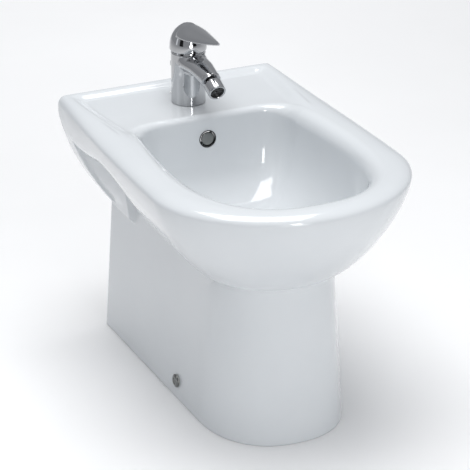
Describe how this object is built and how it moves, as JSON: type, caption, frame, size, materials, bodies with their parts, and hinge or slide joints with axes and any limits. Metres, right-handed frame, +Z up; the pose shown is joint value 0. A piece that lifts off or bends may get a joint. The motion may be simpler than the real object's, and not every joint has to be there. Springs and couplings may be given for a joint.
{
  "type": "floor standing bidet",
  "caption": "White china back-to-wall bidet with an oval rim and tapered pedestal, single lever tap with swivel nozzle, overflow, pop-up waste and bottle trap.",
  "frame": {"origin": "centre of the footprint box at floor level", "axes": "+X to the right seen from the front, -Y towards the user, +Y towards the wall, +Z up; the wall is the plane Y = +0.275"},
  "size_m": [0.375, 0.55, 0.5025],
  "materials": {
    "china": "gloss",
    "chrome": "polished",
    "steel": "satin",
    "brass": "satin",
    "rubber": "matte",
    "white_plastic": "gloss",
    "nylon": "matte",
    "dark_plastic": "satin",
    "indicator": "gloss"
  },
  "bodies": {
    "china": {"bidet_body": "china", "overflow_ring": "chrome", "overflow_cap": "chrome", "waste_flange": "chrome", "waste_gasket_top": "rubber", "waste_body": "chrome", "waste_gasket_bottom": "rubber", "waste_backnut": "brass", "ball_seal": "nylon", "ball_nut": "chrome", "rod_guide": "white_plastic", "trap_inlet_nut": "white_plastic", "trap_inlet_seal": "rubber", "trap_body": "white_plastic", "trap_cup": "white_plastic", "trap_cup_seal": "rubber", "trap_outlet_nut": "white_plastic", "trap_outlet_seal": "rubber", "trap_outlet_pipe": "white_plastic", "tap_body": "chrome", "base_gasket": "rubber", "mounting_stud": "steel", "horseshoe_gasket": "rubber", "horseshoe_plate": "steel", "stud_nut": "brass", "cartridge": "nylon", "cartridge_nut": "brass", "cartridge_cover": "chrome", "collar_nut": "chrome", "fixing_brackets": "nylon", "fixing_sleeves": "nylon", "fixing_screws": "steel", "fixing_caps": "chrome"},
    "lift": {"lift_rod": "chrome", "lift_knob": "chrome", "rod_clamp": "chrome", "clamp_screws": "chrome"},
    "rocker": {"ball_rod": "chrome"},
    "plug": {"waste_plug": "chrome", "plug_seal": "rubber"},
    "turret": {"stem_carrier": "nylon", "stem_pin": "steel"},
    "lever": {"lever_stem": "brass", "lever_handle": "chrome", "lever_grub_screw": "steel", "indicator_plug": "indicator"},
    "swivel": {"ball_washer": "brass"},
    "nozzle": {"nozzle_ball": "chrome", "nozzle_sleeve": "chrome", "aerator_insert": "dark_plastic", "aerator_ring": "chrome"}
  },
  "joints": [
    {"name": "temperature_turn", "type": "hinge", "parent": "china", "child": "turret", "pos_m": [0, 0.193, 0.448], "axis": [0, 0, 1], "range_deg": [-45, 45]},
    {"name": "flow_tilt", "type": "hinge", "parent": "turret", "child": "lever", "pos_m": [0, 0.193, 0.448], "axis": [-1, 0, 0], "range_deg": [0, 20]},
    {"name": "nozzle_swivel", "type": "hinge", "parent": "china", "child": "swivel", "pos_m": [0, 0.11491, 0.43702], "axis": [0, -0.9063, -0.4226], "continuous": true},
    {"name": "nozzle_tilt", "type": "hinge", "parent": "swivel", "child": "nozzle", "pos_m": [0, 0.11491, 0.43702], "axis": [1, 0, 0], "range_deg": [-15, 15]},
    {"name": "lift_rod_slide", "type": "slide", "parent": "china", "child": "lift", "axis": [0, 0, 1], "range_m": [0, 0.04]},
    {"name": "ball_rod_rock", "type": "hinge", "parent": "china", "child": "rocker", "pos_m": [0, 0.024, 0.178], "axis": [1, 0, 0], "range_deg": [0, 11]},
    {"name": "plug_lift", "type": "slide", "parent": "china", "child": "plug", "axis": [0, 0, 1], "range_m": [-0.0066, 0]}
  ],
  "couplings": [
    {"joint": "ball_rod_rock", "follows": "lift_rod_slide", "rad_per_m": 4.7847},
    {"joint": "plug_lift", "follows": "lift_rod_slide", "ratio": -0.16268}
  ]
}
